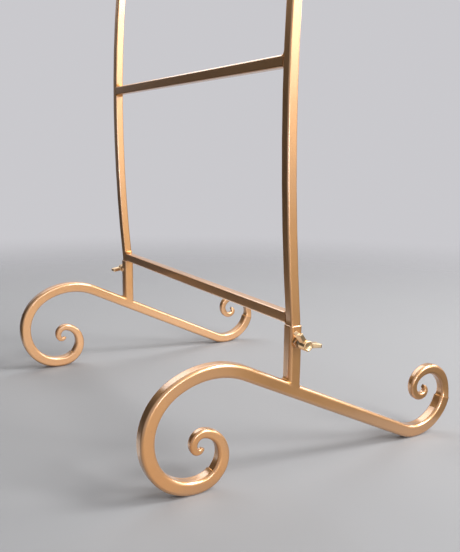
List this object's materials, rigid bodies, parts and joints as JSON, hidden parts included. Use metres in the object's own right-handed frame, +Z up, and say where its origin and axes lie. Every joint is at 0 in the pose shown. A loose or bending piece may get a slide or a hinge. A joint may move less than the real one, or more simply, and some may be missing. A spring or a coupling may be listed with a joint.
{
  "type": "clothes rack",
  "caption": "Gold-painted steel clothes rack on scroll feet; its bowed frame lifts out of sockets held by wing screws.",
  "frame": {"origin": "on the floor, midway between the two feet, below the sockets", "axes": "+X across the rack towards the right foot, +Y towards the back where the small scrolls are, +Z up"},
  "size_m": [0.4872, 0.3824, 1.4],
  "materials": {
    "gold_paint": "satin",
    "screw_steel": "satin",
    "wing_gold": "polished"
  },
  "bodies": {
    "frame": {"left_upright": "gold_paint", "right_upright": "gold_paint", "left_upright_cap": "gold_paint", "right_upright_cap": "gold_paint", "lower_crossbar": "gold_paint", "upper_crossbar": "gold_paint", "hanging_rail": "gold_paint"},
    "left_foot": {"left_foot_bar": "gold_paint", "left_front_scroll_tip": "gold_paint", "left_rear_scroll_tip": "gold_paint", "left_socket": "gold_paint", "left_weld_nut": "gold_paint"},
    "left_screw": {"left_screw_shank": "screw_steel"},
    "left_wing": {"left_wing_head": "wing_gold"},
    "right_foot": {"right_foot_bar": "gold_paint", "right_front_scroll_tip": "gold_paint", "right_rear_scroll_tip": "gold_paint", "right_socket": "gold_paint", "right_weld_nut": "gold_paint"},
    "right_screw": {"right_screw_shank": "screw_steel"},
    "right_wing": {"right_wing_head": "wing_gold"}
  },
  "joints": [
    {"name": "left_foot_lift", "type": "slide", "parent": "frame", "child": "left_foot", "axis": [0, 0, -1], "range_m": [0, 0.06]},
    {"name": "left_screw_travel", "type": "slide", "parent": "left_foot", "child": "left_screw", "axis": [-1, 0, 0], "range_m": [0, 0.003]},
    {"name": "left_screw_turn", "type": "hinge", "parent": "left_screw", "child": "left_wing", "pos_m": [-0.2235, 0.0013, 0.1338], "axis": [-1, 0, 0], "range_deg": [0, 1080]},
    {"name": "right_foot_lift", "type": "slide", "parent": "frame", "child": "right_foot", "axis": [0, 0, -1], "range_m": [0, 0.06]},
    {"name": "right_screw_travel", "type": "slide", "parent": "right_foot", "child": "right_screw", "axis": [1, 0, 0], "range_m": [0, 0.003]},
    {"name": "right_screw_turn", "type": "hinge", "parent": "right_screw", "child": "right_wing", "pos_m": [0.2235, 0.0013, 0.1338], "axis": [1, 0, 0], "range_deg": [0, 1080]}
  ],
  "couplings": [
    {"joint": "left_screw_travel", "follows": "left_screw_turn", "m_per_rad": 0.00015915},
    {"joint": "right_screw_travel", "follows": "right_screw_turn", "m_per_rad": 0.00015915}
  ]
}
